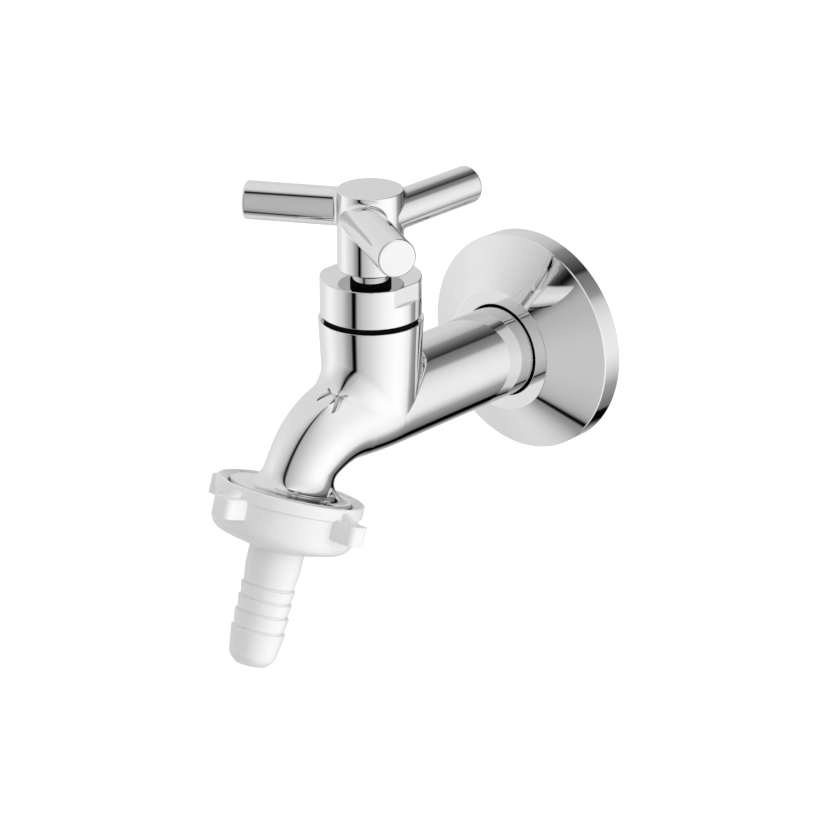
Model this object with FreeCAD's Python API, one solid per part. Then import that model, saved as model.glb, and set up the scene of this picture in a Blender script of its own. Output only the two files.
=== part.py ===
import FreeCAD, Part
import math
import os

# Garden tap with a wall flange, a three-spoke handle and a plastic hose union.
# Millimetres. The origin is the centre of the inlet pipe thread where it meets the wall:
# +Z is up, the wall is the plane y = 0, and the tap stands out along -Y.

V = FreeCAD.Vector

# Barrel, inlet thread and wall flange
barrel_r = 12.86
barrel_bore_r = 9.0
inlet_thread_r = 13.22
inlet_thread_in_wall = 14.0
inlet_thread_in_flange = 4.0
flange_r = 31.5
flange_rim = 6.2
flange_depth = 15.2
flange_nose_r = 17.6
flange_wall = 1.6
flange_gap = 0.5
flange_boss_wall = 3.2
flange_boss_length = 8.2
flange_edge_round = 0.6
flange_ring_wire_r = 0.95
flange_ring_from_nose = 2.2

# Valve chamber and its seat
valve_reach = 68.3
chamber_top_z = 25.6
chamber_top_r = 14.35
chamber_root_r = 12.95
rim_chamfer = 0.25
chamber_bore_r = 9.3
chamber_floor_z = 3.2
seat_z = 5.0
seat_r = 7.0
orifice_r = 5.5
duct_z = -4.0
duct_start = 50.0

# Spout: its bend, its section and the saddle under the chamber's front
outlet_tilt = 20.27
outlet_from_valve = 31.69
outlet_drop = 15.09
bend_r = 23.0
spout_start_r = 11.85
spout_neck_r = 9.3
spout_sag = 0.8
neck_shift = 0.6
taper_share = 0.78
saddle_r = 6.0
heel_sharpness = 6.0
barrel_end_taper = 14.0
waterway_r = 5.6
neck_flare = 5.4

# Outlet disc and thread, measured down the outlet's axis from the disc's top
disc_r = 16.71
disc_thick = 1.1
outlet_thread_r = 16.62
outlet_length = 8.5
outlet_bore_r = 8.0

# Headwork, measured on the upright valve axis
head_thread_r = 10.478
head_thread_from = 13.2
head_bottom_z = 11.0
head_skirt_r = 9.0
head_flange_r = 12.0
head_flange_top_z = 31.3
head_hex_af = 18.0
head_hex_top_z = 33.4
head_top_z = 34.2
head_boss_r = 7.5
gasket_thick = 1.0
gasket_r = 13.05
gasket_top_r = 12.25
carrier_room_r = 7.6
carrier_room_top_z = 14.5
guide_af = 12.0
guide_top_z = 26.1

# Spindle
journal_r = 4.5
running_gap = 0.05
collar_r = 5.6
collar_thick = 1.3
spindle_thread_r = 3.5
spindle_end_z = 15.8
square_side = 6.4
square_length = 13.4
clip_thick = 0.66
clip_groove_r = 3.4
clip_r = 6.2
clip_opening = 3.0
thrust_thick = 0.46
ring_wire_r = 0.75
ring_z = (28.6, 31.6)
ring_groove_width = 1.9

# Carrier, rubber disc and its screw
carrier_top_z = 19.5
carrier_bore_bottom_z = 11.0
carrier_base_r = 7.2
carrier_base_thick = 1.95
seat_washer_r = 6.9
seat_washer_thick = 2.5
screw_head_r = 2.6
screw_head_thick = 1.1
screw_head_lift = 0.25
screw_r = 1.5
screw_depth = 2.75
screw_slot = 0.8

# Bonnet
bonnet_r = 13.8
bonnet_bottom_z = 26.89
bonnet_top_z = 37.51
bonnet_roof = 2.21
bonnet_cavity_r = 10.8
bonnet_flat_af = 25.9
bonnet_flat_height = 5.0
bonnet_hole_r = 5.8
bonnet_edge_round = 0.3

# Handle
hub_r = 9.0
hub_bottom_z = 39.88
hub_top_z = 62.05
hub_edge_round = 0.35
hub_boss_r = 5.5
hub_boss_bottom_z = 35.6
dust_ring_r = 5.6
dust_ring_seat_r = 5.0
dust_ring_from_z = 38.45
spoke_r = 5.27
spoke_reach = 35.32
spoke_root = 1.5
spoke_offset = 3.68
spoke_z = 55.1
first_spoke_angle = 60.0
spoke_edge_round = 0.4
grub_r = 2.0
grub_z = 44.6
grub_recess = 0.5
grub_socket_af = 2.0
grub_socket_depth = 2.0

# Union nut, measured down the outlet's axis from the disc's top
nut_band_r = 20.35
nut_band_height = 3.3
nut_step = 0.4
nut_body_r = 19.7
nut_waist_r = 19.5
nut_shoulder = 13.2
nut_shoulder_round = 4.0
nut_height = 16.0
nut_bottom_r = 9.6
nut_lip = 0.3
nut_mouth_r = 17.2
nut_bevel_depth = 1.0
nut_mouth_depth = 1.4
nut_thread_gap = 0.08
nut_seat_depth = 12.8
nut_hole_r = 7.9
lug_reach = 26.95
lug_width = 6.3
lug_from = 2.9
lug_height = 5.5
lug_corner_round = 1.7
gusset_from = 0.7
gusset_reach = 24.6
gusset_thick = 1.7
gusset_sink = 1.0

# Hose washer and hose tail
face_gap = 0.05
hose_washer_thick = 2.0
hose_washer_r = 14.3
tail_flange_r = 14.0
tail_shank_r = 7.56
tail_shank_end = 22.2
barb_ledges = (27.1, 30.8, 34.65, 39.2)
barb_r = 7.5
barb_root_r = 7.0
tail_tip_r = 6.4
tail_tip_slope = 2.0
tail_tip_round = 3.3
tail_bore_r = 3.8
tail_length = 48.95


def outline(corners):
    """Closed wire in the XZ plane through (r, z) corners; a third value rounds that corner."""
    count = len(corners)
    starts = []
    ends = []
    arcs = []
    for i in range(count):
        corner = corners[i]
        before = corners[i - 1]
        after = corners[(i + 1) % count]
        point = V(corner[0], 0, corner[1])
        if len(corner) == 2:
            starts.append(point)
            ends.append(point)
            arcs.append(None)
            continue
        to_before = (V(before[0], 0, before[1]) - point).normalize()
        to_after = (V(after[0], 0, after[1]) - point).normalize()
        half = to_before.getAngle(to_after) / 2
        reach = corner[2] / math.tan(half)
        middle = (to_before + to_after).normalize() * (corner[2] / math.sin(half) - corner[2])
        starts.append(point + to_before * reach)
        ends.append(point + to_after * reach)
        arcs.append(Part.Arc(starts[i], point + middle, ends[i]).toShape())
    edges = []
    for i in range(count):
        if arcs[i]:
            edges.append(arcs[i])
        following = starts[(i + 1) % count]
        if ends[i].distanceToPoint(following) > 1e-6:
            edges.append(Part.LineSegment(ends[i], following).toShape())
    return Part.Wire(edges)


def turned(corners):
    """Solid of revolution about +Z."""
    return Part.Face(outline(corners)).revolve(V(0, 0, 0), V(0, 0, 1), 360)


def hexagon(across_flats, bottom_z, top_z):
    """Upright hexagonal prism on the Z axis, with corners towards +X and -X."""
    radius = across_flats / math.sqrt(3)
    points = []
    for i in range(7):
        angle = math.radians(60 * i)
        points.append(V(radius * math.cos(angle), radius * math.sin(angle), bottom_z))
    return Part.Face(Part.makePolygon(points)).extrude(V(0, 0, top_z - bottom_z))


def ring(mean_r, wire_r, z):
    """Round rubber ring about the Z axis."""
    return Part.makeTorus(mean_r, wire_r, V(0, 0, z), V(0, 0, 1))


def on_valve(shape):
    """Move a piece made about +Z to the valve axis."""
    shape.translate(V(0, -valve_reach, 0))
    return shape


def on_barrel(shape):
    """Turn a piece made about +Z so that its +Z points out of the wall along the barrel."""
    shape.Placement = FreeCAD.Placement(V(0, 0, 0), FreeCAD.Rotation(V(1, 0, 0), 90))
    return shape


def on_outlet(shape):
    """Move a piece made about +Z so that its +Z points down the tilted outlet."""
    place = V(0, -outlet_reach, -outlet_drop)
    shape.Placement = FreeCAD.Placement(place, FreeCAD.Rotation(V(1, 0, 0), 180 - outlet_tilt))
    return shape


# Spout geometry in the middle plane: y and z of the bend, from its turn angle

tilt = math.radians(outlet_tilt)
full_turn = math.pi / 2 - tilt
outlet_reach = valve_reach + outlet_from_valve
corner_y = -outlet_reach + outlet_drop * math.tan(tilt)
bend_start_y = corner_y + bend_r * math.tan(full_turn / 2)


def chamber_r(z):
    """Outside radius of the valve chamber at height z."""
    return chamber_root_r + (chamber_top_r - chamber_root_r) * z / chamber_top_z


def spout_r(turn):
    """Outside radius of the spout where the bend has turned by this angle."""
    share = min(1.0, turn / full_turn / taper_share)
    return spout_start_r + (spout_neck_r - spout_start_r) * share


def spout_centre(turn):
    """Centre of the spout's section where the bend has turned by this angle."""
    sag = neck_shift + (spout_sag - neck_shift) * (1 - (turn / full_turn) ** 2)
    y = bend_start_y - (bend_r - sag) * math.sin(turn)
    z = -bend_r + (bend_r - sag) * math.cos(turn)
    return V(0, y, z)


def section(front, back, half_width):
    """Closed oval in the plane of X and the line from front to back, in the middle plane."""
    centre = (front + back) * 0.5
    half = (back - front) * 0.5
    points = []
    for i in range(16):
        angle = 2 * math.pi * i / 16
        points.append(centre + half * math.cos(angle) + V(half_width * math.sin(angle), 0, 0))
    curve = Part.BSplineCurve()
    curve.interpolate(points, True)
    return Part.Wire(curve.toShape())


def spout_section(turn, radius):
    """Round section of the spout, square to the bend."""
    centre = spout_centre(turn)
    up = V(0, -math.sin(turn), math.cos(turn))
    return section(centre + up * radius, centre - up * radius, radius)


def saddle_turn():
    """Turn of the bend at which the saddle meets the spout's top, by halving."""
    low = 0.0
    high = full_turn
    for _ in range(50):
        turn = (low + high) / 2
        pivot = spout_centre(turn) + V(0, -math.sin(turn), math.cos(turn)) * (spout_r(turn) + saddle_r)
        if pivot.y > -valve_reach - chamber_r(pivot.z) - saddle_r:
            low = turn
        else:
            high = turn
    return turn


def elbow():
    """Chamber, saddle and spout as one skin, from the rim down to the outlet disc."""
    meet = saddle_turn()
    pivot = spout_centre(meet) + V(0, -math.sin(meet), math.cos(meet)) * (spout_r(meet) + saddle_r)
    wires = []
    for share in (1.3, 0.8, 0.4):
        z = pivot.z + (chamber_top_z - pivot.z) * share
        r = chamber_r(z)
        wires.append(section(V(0, -valve_reach - r, z), V(0, -valve_reach + r, z), r))
    # Fans about the saddle's centre: their far ends follow the chamber's back, then a rounded
    # heel inside the barrel, then the spout's underside
    lean = (chamber_top_r - chamber_root_r) / chamber_top_z
    to_back = -valve_reach + chamber_r(pivot.z) - pivot.y
    sweep = math.pi / 2 - meet
    last_far = saddle_r + 2 * spout_r(meet)
    back_share = ((math.cos(sweep) + lean * math.sin(sweep)) / to_back) ** heel_sharpness
    under_share = (last_far ** -heel_sharpness - back_share) / math.sin(sweep) ** heel_sharpness
    steps = 5
    for i in range(steps):
        share = i / steps
        angle = sweep * share
        ray = V(0, math.cos(angle), -math.sin(angle))
        back_share = ((math.cos(angle) + lean * math.sin(angle)) / to_back) ** heel_sharpness
        far = (back_share + under_share * math.sin(angle) ** heel_sharpness) ** (-1 / heel_sharpness)
        width = chamber_r(pivot.z) * (1 - share) + spout_r(meet) * share
        wires.append(section(pivot + ray * saddle_r, pivot + ray * far, width))
    steps = 6
    for i in range(steps + 1):
        turn = meet + (full_turn - meet) * i / steps
        wires.append(spout_section(turn, spout_r(turn)))
    return Part.makeLoft(wires, True, False)


def neck():
    """Concave round that widens the spout's end into the outlet disc."""
    wires = []
    steps = 7
    for i in range(steps + 1):
        angle = math.pi / 2 * i / steps
        rise = neck_flare * (1 - math.sin(angle))
        radius = spout_neck_r - 0.2 + neck_flare * (1 - math.cos(angle))
        wires.append(spout_section(full_turn - rise / bend_r, radius))
    last = spout_centre(full_turn) + V(0, -math.sin(tilt), -math.cos(tilt)) * (disc_thick / 2)
    up = V(0, -math.cos(tilt), math.sin(tilt)) * (spout_neck_r + neck_flare)
    wires.append(section(last + up, last - up, spout_neck_r + neck_flare))
    return Part.makeLoft(wires, True, True)


def waterway():
    """Passage from the chamber's front down to the outlet."""
    start = V(0, -valve_reach - chamber_bore_r + 1.6, (chamber_floor_z + head_thread_from) / 2)
    reach = waterway_r - 1.2
    lean = V(0, -0.37, 0.93)
    wires = [section(start + lean * reach, start - lean * reach, reach)]
    for share in (0.4, 0.6, 0.8, 1.0):
        wires.append(spout_section(full_turn * share, waterway_r))
    return Part.makeLoft(wires, True, False)


def tap_body():
    """Cast body: barrel, chamber, spout and outlet in one hollow piece."""
    straight = valve_reach + 1
    barrel = on_barrel(turned([
        (0, 0), (barrel_r, 0), (barrel_r, straight), (spout_neck_r, straight + barrel_end_taper),
        (0, straight + barrel_end_taper)]))
    thread = Part.makeCylinder(
        inlet_thread_r, inlet_thread_in_wall + inlet_thread_in_flange,
        V(0, inlet_thread_in_wall, 0), V(0, -1, 0))
    outlet = on_outlet(turned([
        (0, 0), (disc_r, 0, 0.25), (disc_r, disc_thick), (outlet_thread_r, disc_thick),
        (outlet_thread_r, outlet_length, 0.4), (0, outlet_length)]))
    solid = barrel.fuse(elbow()).fuse(thread).fuse(outlet).fuse(neck())

    inlet_bore = Part.makeCylinder(
        barrel_bore_r, duct_start + inlet_thread_in_wall, V(0, inlet_thread_in_wall, 0), V(0, -1, 0))
    duct = Part.makeCylinder(
        orifice_r, valve_reach - duct_start + 1, V(0, -duct_start + 1, duct_z), V(0, -1, 0))
    orifice = on_valve(Part.makeCylinder(orifice_r, seat_z - duct_z, V(0, 0, duct_z)))
    chamber = on_valve(turned([
        (orifice_r - 1, seat_z), (seat_r, seat_z), (seat_r, chamber_floor_z),
        (chamber_bore_r, chamber_floor_z), (chamber_bore_r, head_thread_from),
        (head_thread_r, head_thread_from), (head_thread_r, chamber_top_z + 1),
        (0, chamber_top_z + 1), (0, seat_z)]))
    end_bore = on_outlet(Part.makeCylinder(outlet_bore_r, outlet_length, V(0, 0, disc_thick)))
    above = on_valve(turned([
        (0, chamber_top_z), (chamber_top_r - rim_chamfer, chamber_top_z),
        (chamber_top_r + saddle_r, chamber_top_z - rim_chamfer - saddle_r),
        (chamber_top_r + saddle_r, chamber_top_z + saddle_r), (0, chamber_top_z + saddle_r)]))
    for hollow in (above, inlet_bore, duct, orifice, chamber, waterway(), end_bore):
        solid = solid.cut(hollow)
    return solid


def wall_flange():
    """Conical cover plate, hollow behind, with a boss that holds its rubber ring."""
    bore_r = barrel_r + flange_gap
    boss_r = bore_r + flange_boss_wall
    ring_centre = flange_depth - flange_ring_from_nose - flange_ring_wire_r
    slope = math.atan2(flange_depth - flange_rim, flange_r - flange_nose_r)
    inner_rim = flange_rim - flange_wall * math.tan(slope / 2)
    inner_r = flange_r - flange_wall
    boss_meet = inner_rim + (inner_r - boss_r) * math.tan(slope)
    groove_r = barrel_r + 0.02 + 2 * flange_ring_wire_r
    return on_barrel(turned([
        (flange_r, 0), (flange_r, flange_rim, flange_edge_round),
        (flange_nose_r, flange_depth, flange_edge_round), (bore_r, flange_depth, 0.3),
        (bore_r, ring_centre + flange_ring_wire_r), (groove_r, ring_centre + flange_ring_wire_r),
        (groove_r, ring_centre - flange_ring_wire_r), (bore_r, ring_centre - flange_ring_wire_r),
        (bore_r, flange_depth - flange_boss_length), (boss_r, flange_depth - flange_boss_length),
        (boss_r, boss_meet), (inner_r, inner_rim), (inner_r, 0)]))


def flange_o_ring():
    """Rubber ring in the flange's boss, round the barrel."""
    ring_centre = flange_depth - flange_ring_from_nose - flange_ring_wire_r
    return on_barrel(ring(barrel_r + 0.02 + flange_ring_wire_r, flange_ring_wire_r, ring_centre))


def headwork_body():
    """Brass headwork: thread, flange, hexagon, and guide for the carrier."""
    flange_z = chamber_top_z + gasket_thick
    solid = turned([
        (0, head_bottom_z), (head_skirt_r, head_bottom_z), (head_skirt_r, head_thread_from),
        (head_thread_r, head_thread_from), (head_thread_r, chamber_top_z),
        (head_thread_r - 0.3, chamber_top_z), (head_thread_r - 0.3, flange_z),
        (head_flange_r, flange_z), (head_flange_r, head_flange_top_z), (head_boss_r, head_flange_top_z),
        (head_boss_r, head_top_z), (0, head_top_z)])
    solid = solid.fuse(hexagon(head_hex_af, head_flange_top_z, head_hex_top_z))
    solid = solid.cut(Part.makeCylinder(journal_r + running_gap, head_top_z, V(0, 0, guide_top_z)))
    solid = solid.cut(hexagon(guide_af, head_bottom_z, guide_top_z))
    solid = solid.cut(Part.makeCylinder(
        carrier_room_r, carrier_room_top_z - head_bottom_z, V(0, 0, head_bottom_z)))
    return on_valve(solid)


def headwork_gasket():
    """Flat black ring between the headwork's flange and the chamber's rim."""
    top = chamber_top_z + gasket_thick
    return on_valve(turned([
        (head_thread_r, chamber_top_z), (gasket_r, chamber_top_z, 0.1), (gasket_top_r, top, 0.1),
        (head_thread_r, top)]))


def spindle():
    """Turned spindle: left-hand thread, collar, journal with ring grooves, clip groove and square."""
    collar_top = guide_top_z - thrust_thick - 2 * 0.02
    collar_bottom = collar_top - collar_thick
    clip_z = head_top_z + running_gap
    groove_r = journal_r - 2 * ring_wire_r
    square_from = clip_z + clip_thick + 0.6
    corners = [(0, spindle_end_z), (spindle_thread_r, spindle_end_z, 0.4)]
    corners += [(spindle_thread_r, collar_bottom), (collar_r, collar_bottom)]
    corners += [(collar_r, collar_top), (journal_r, collar_top)]
    for z in ring_z:
        corners += [(journal_r, z - ring_groove_width / 2), (groove_r, z - ring_groove_width / 2)]
        corners += [(groove_r, z + ring_groove_width / 2), (journal_r, z + ring_groove_width / 2)]
    corners += [(journal_r, clip_z), (clip_groove_r, clip_z), (clip_groove_r, clip_z + clip_thick)]
    corners += [(journal_r, clip_z + clip_thick), (journal_r, square_from), (0, square_from)]
    solid = turned(corners)
    half = square_side / 2
    square = Part.makeBox(square_side, square_side, square_length, V(-half, -half, square_from))
    return on_valve(solid.fuse(square))


def spindle_o_rings():
    """Two rubber rings in the spindle's grooves."""
    mean_r = journal_r - ring_wire_r
    return on_valve(Part.makeCompound([ring(mean_r, ring_wire_r, z) for z in ring_z]))


def spindle_clip():
    """Open spring ring that keeps the spindle from dropping through the headwork."""
    clip_z = head_top_z + running_gap
    solid = Part.makeCylinder(clip_r, clip_thick, V(0, 0, clip_z))
    solid = solid.cut(Part.makeCylinder(clip_groove_r, clip_thick, V(0, 0, clip_z)))
    opening = Part.makeBox(clip_opening, clip_r + 1, clip_thick, V(-clip_opening / 2, 0, clip_z))
    return on_valve(solid.cut(opening))


def thrust_washer():
    """Thin slip ring above the spindle's collar."""
    top = guide_top_z
    inner = journal_r + 2 * running_gap
    outer = guide_af / 2 - 0.2
    return on_valve(turned([
        (inner, top - thrust_thick), (outer, top - thrust_thick), (outer, top), (inner, top)]))


def valve_carrier():
    """Hexagonal carrier: threaded on the spindle, kept from turning by the headwork's guide."""
    base_z = seat_z + face_gap + seat_washer_thick
    solid = hexagon(guide_af - 2 * running_gap, base_z, carrier_top_z)
    solid = solid.fuse(Part.makeCylinder(carrier_base_r, carrier_base_thick, V(0, 0, base_z)))
    bore_length = carrier_top_z - carrier_bore_bottom_z
    solid = solid.cut(Part.makeCylinder(
        spindle_thread_r + running_gap, bore_length, V(0, 0, carrier_bore_bottom_z)))
    solid = solid.cut(Part.makeCylinder(screw_r, screw_depth, V(0, 0, base_z)))
    return on_valve(solid)


def seat_washer():
    """Rubber disc that closes on the seat, recessed for its screw."""
    bottom = seat_z + face_gap
    top = bottom + seat_washer_thick
    head_top = bottom + screw_head_lift + screw_head_thick
    return on_valve(turned([
        (screw_head_r, bottom), (seat_washer_r, bottom, 0.3), (seat_washer_r, top, 0.3), (screw_r, top),
        (screw_r, head_top), (screw_head_r, head_top)]))


def seat_washer_screw():
    """Slotted brass screw through the rubber disc."""
    bottom = seat_z + face_gap + screw_head_lift
    head_top = bottom + screw_head_thick
    top = seat_z + face_gap + seat_washer_thick + screw_depth
    solid = turned([
        (0, bottom), (screw_head_r, bottom, 0.25), (screw_head_r, head_top), (screw_r, head_top),
        (screw_r, top, 0.3), (0, top)])
    slot = Part.makeBox(
        2 * screw_head_r, screw_slot, screw_head_thick / 2, V(-screw_head_r, -screw_slot / 2, bottom))
    return on_valve(solid.cut(slot))


def bonnet():
    """Chromed shroud over the headwork, with two wrench flats at its top."""
    roof_z = bonnet_top_z - bonnet_roof
    solid = turned([
        (head_flange_r, bonnet_bottom_z), (bonnet_r, bonnet_bottom_z, bonnet_edge_round),
        (bonnet_r, bonnet_top_z, bonnet_edge_round), (bonnet_hole_r, bonnet_top_z, bonnet_edge_round),
        (bonnet_hole_r, roof_z), (bonnet_cavity_r, roof_z), (bonnet_cavity_r, head_flange_top_z),
        (head_flange_r, head_flange_top_z)])
    depth = bonnet_r - bonnet_flat_af / 2 + 1
    for side in (-1, 1):
        low_x = side * (bonnet_flat_af / 2 + depth / 2) - depth / 2
        flat = Part.makeBox(
            depth, 2 * bonnet_r, bonnet_flat_height + 1,
            V(low_x, -bonnet_r, bonnet_top_z - bonnet_flat_height))
        solid = solid.cut(flat)
    return on_valve(solid)


def spoke_bar(angle_deg):
    """One round bar; the angle is counted from the tap's front towards +X."""
    angle = math.radians(angle_deg)
    out = V(math.sin(angle), -math.cos(angle), 0)
    aside = V(-math.cos(angle), -math.sin(angle), 0)
    foot = V(0, -valve_reach, spoke_z) + aside * spoke_offset
    bar = turned([
        (0, spoke_root), (spoke_r, spoke_root), (spoke_r, spoke_reach, spoke_edge_round),
        (0, spoke_reach)])
    bar.Placement = FreeCAD.Placement(foot, FreeCAD.Rotation(V(0, 0, 1), out))
    return bar


spoke_names = ("spoke_front_right", "spoke_rear", "spoke_front_left")
spoke_angles = {name: first_spoke_angle + 120 * i for i, name in enumerate(spoke_names)}


def handle_hub():
    """Upright hub with three sockets for the bars, a square hole and a grub-screw hole."""
    solid = turned([
        (0, hub_boss_bottom_z), (hub_boss_r, hub_boss_bottom_z, 0.3), (hub_boss_r, dust_ring_from_z),
        (dust_ring_seat_r, dust_ring_from_z), (dust_ring_seat_r, hub_bottom_z),
        (hub_r, hub_bottom_z, hub_edge_round), (hub_r, hub_top_z, hub_edge_round), (0, hub_top_z)])
    half = square_side / 2
    square_top = head_top_z + running_gap + clip_thick + 0.6 + square_length
    solid = solid.cut(Part.makeBox(
        square_side, square_side, square_top - hub_boss_bottom_z, V(-half, -half, hub_boss_bottom_z)))
    solid = solid.cut(Part.makeCylinder(grub_r, hub_r, V(0, half, grub_z), V(0, 1, 0)))
    solid = on_valve(solid)
    for angle_deg in spoke_angles.values():
        solid = solid.cut(spoke_bar(angle_deg))
    return solid


def dust_ring():
    """Black rubber ring in the groove under the hub, above the bonnet."""
    return on_valve(turned([
        (dust_ring_seat_r, dust_ring_from_z), (dust_ring_r, dust_ring_from_z, 0.15),
        (dust_ring_r, hub_bottom_z), (dust_ring_seat_r, hub_bottom_z)]))


def handle_grub_screw():
    """Socket set screw that bears on the spindle's square, at the back of the hub."""
    half = square_side / 2
    length = hub_r - grub_recess - half
    solid = turned([(0, 0), (grub_r, 0, 0.4), (grub_r, length, 0.3), (0, length)])
    solid = solid.cut(hexagon(grub_socket_af, length - grub_socket_depth, length))
    solid.Placement = FreeCAD.Placement(V(0, half, grub_z), FreeCAD.Rotation(V(1, 0, 0), -90))
    return on_valve(solid)


def union_nut():
    """Plastic nut: band, body with a round bottom, four lugs and a gusset over each."""
    thread_r = outlet_thread_r + nut_thread_gap
    seat_r_in = hose_washer_r + 0.25
    solid = turned([
        (nut_mouth_r, nut_bevel_depth), (nut_band_r, -nut_lip, 0.35),
        (nut_band_r, nut_band_height, 0.3),
        (nut_body_r, nut_band_height + nut_step, 0.2), (nut_waist_r, nut_shoulder, nut_shoulder_round),
        (nut_bottom_r, nut_height, 0.6), (nut_hole_r, nut_height, 0.3),
        (nut_hole_r, nut_seat_depth), (seat_r_in, nut_seat_depth), (seat_r_in, outlet_length + 1.1),
        (thread_r, outlet_length + 1.1), (thread_r, nut_mouth_depth), (nut_mouth_r, nut_mouth_depth)])
    root = nut_waist_r - 1.5 * gusset_sink
    slant = (gusset_reach - nut_band_r) / (lug_from - gusset_from)
    sunk_r = nut_band_r - gusset_sink
    sunk_from = gusset_from - gusset_sink / slant
    sunk_to = lug_from + gusset_sink / 2
    for i in range(4):
        lug = Part.makeBox(lug_reach - root, lug_width, lug_height, V(root, -lug_width / 2, lug_from))
        far = [e for e in lug.Edges if e.BoundBox.XMin > lug_reach - 0.01]
        upright = [e for e in far if e.BoundBox.ZLength > lug_height / 2]
        lug = lug.makeFillet(lug_corner_round, upright)
        corners = [V(sunk_r, 0, sunk_from), V(gusset_reach, 0, lug_from)]
        corners += [V(gusset_reach - gusset_sink, 0, sunk_to), V(sunk_r, 0, sunk_to)]
        corners.append(corners[0])
        gusset = Part.Face(Part.makePolygon([c + V(0, -gusset_thick / 2, 0) for c in corners]))
        gusset = gusset.extrude(V(0, gusset_thick, 0))
        for piece in (lug, gusset):
            piece.rotate(V(0, 0, 0), V(0, 0, 1), 90 * i)
            solid = solid.fuse(piece)
    return on_outlet(solid)


def hose_washer():
    """Flat rubber ring between the outlet's end and the hose tail."""
    top = outlet_length + face_gap
    bottom = top + hose_washer_thick
    return on_outlet(turned([
        (outlet_bore_r, top), (hose_washer_r, top), (hose_washer_r, bottom), (outlet_bore_r, bottom)]))


def hose_tail():
    """Plastic tail: flange inside the nut, shank, barbs and a rounded tip, bored through."""
    top = outlet_length + 2 * face_gap + hose_washer_thick
    corners = [
        (tail_bore_r, top, 0.5), (tail_flange_r, top), (tail_flange_r, nut_seat_depth - face_gap),
        (tail_shank_r, nut_seat_depth - face_gap), (tail_shank_r, tail_shank_end)]
    for ledge in barb_ledges:
        corners += [(barb_root_r, ledge), (barb_r, ledge, 0.12)]
    corners += [(tail_tip_r, tail_length - tail_tip_slope, tail_tip_round)]
    corners += [(tail_bore_r + 0.5, tail_length - 0.05, 0.4), (tail_bore_r, tail_length)]
    return on_outlet(turned(corners))


pieces = {
    "tap_body": tap_body(),
    "wall_flange": wall_flange(),
    "flange_o_ring": flange_o_ring(),
    "headwork_body": headwork_body(),
    "headwork_gasket": headwork_gasket(),
    "spindle": spindle(),
    "spindle_o_rings": spindle_o_rings(),
    "spindle_clip": spindle_clip(),
    "thrust_washer": thrust_washer(),
    "valve_carrier": valve_carrier(),
    "seat_washer": seat_washer(),
    "seat_washer_screw": seat_washer_screw(),
    "bonnet": bonnet(),
    "handle_hub": handle_hub(),
    "dust_ring": dust_ring(),
    "handle_grub_screw": handle_grub_screw(),
    "union_nut": union_nut(),
    "hose_washer": hose_washer(),
    "hose_tail": hose_tail(),
}
for name, angle_deg in spoke_angles.items():
    pieces[name] = spoke_bar(angle_deg)

os.makedirs("parts", exist_ok=True)
for name, shape in pieces.items():
    if not shape.isValid():
        print("not valid:", name)
    print(name, len(shape.Solids), "solids", round(shape.Volume, 1), "mm3")
    shape.exportStep("parts/" + name + ".step")
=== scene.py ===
"""Garden tap: a chromed casting, cover plate and handle, with a white plastic hose union."""

import logging
import math
from collections.abc import Callable
from dataclasses import dataclass, field
from enum import Enum

import bmesh
import bpy
import numpy as np
from mathutils import Matrix, Vector


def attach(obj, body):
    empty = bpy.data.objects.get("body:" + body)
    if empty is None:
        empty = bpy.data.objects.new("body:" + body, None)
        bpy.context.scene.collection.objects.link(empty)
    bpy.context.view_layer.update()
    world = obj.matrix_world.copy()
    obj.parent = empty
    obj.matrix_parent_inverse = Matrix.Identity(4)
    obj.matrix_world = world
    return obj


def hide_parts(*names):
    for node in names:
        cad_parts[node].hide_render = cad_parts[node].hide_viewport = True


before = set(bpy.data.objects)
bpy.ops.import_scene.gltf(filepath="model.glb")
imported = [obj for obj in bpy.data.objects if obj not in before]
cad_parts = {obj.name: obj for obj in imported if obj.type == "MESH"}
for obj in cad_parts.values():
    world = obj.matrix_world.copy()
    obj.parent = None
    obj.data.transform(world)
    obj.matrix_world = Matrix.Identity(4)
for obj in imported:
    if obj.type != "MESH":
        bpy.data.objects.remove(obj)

log = logging.getLogger("garden_tap")

Corners = list[tuple[float, ...]]
Triple = tuple[float, float, float]
End = tuple[float, float, float, float]
Field = Callable[[np.ndarray], np.ndarray]
Stops = tuple[tuple[float, float], ...]
Socket = bpy.types.NodeSocket

MM = 0.001
TINY = 1e-6
FULL_TURN = 2 * math.pi
UP = np.array([0.0, 0.0, 1.0])
ARC_STEP = 12.0
OUTLET_TILT = math.radians(20.27)
VALVE_REACH = 68.3
OUTLET_REACH = 99.99
OUTLET_DROP = 15.09


class Body(Enum):
    """The rigid bodies of the tap that pieces ride on."""

    BODY = "body"
    FLANGE = "flange"
    HANDLE = "handle"
    NUT = "nut"
    TAIL = "tail"


class Slot(Enum):
    """The finishes of the record."""

    CHROME = "chrome"
    BRASS = "brass"
    RUBBER = "rubber"
    STEEL = "steel"
    WHITE = "white_plastic"
    SLIP = "slip_plastic"


Palette = dict[Slot, bpy.types.Material]


@dataclass(frozen=True)
class Axis:
    """Where a piece is made: the rotation from its own axes, and its own origin in millimetres."""

    turn: np.ndarray
    shift: np.ndarray

    @classmethod
    def tilted(cls, angle: float, *shift: float) -> "Axis":
        """An axis turned about X from upright."""
        return cls(np.array(Matrix.Rotation(angle, 3, "X")), np.array(shift))

    def place(self, points: np.ndarray) -> np.ndarray:
        """Takes points from the piece's own axes to the tap's."""
        return points @ self.turn.T + self.shift

    def aim(self, normals: np.ndarray) -> np.ndarray:
        """Takes normals from the piece's own axes to the tap's."""
        return normals @ self.turn.T


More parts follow.
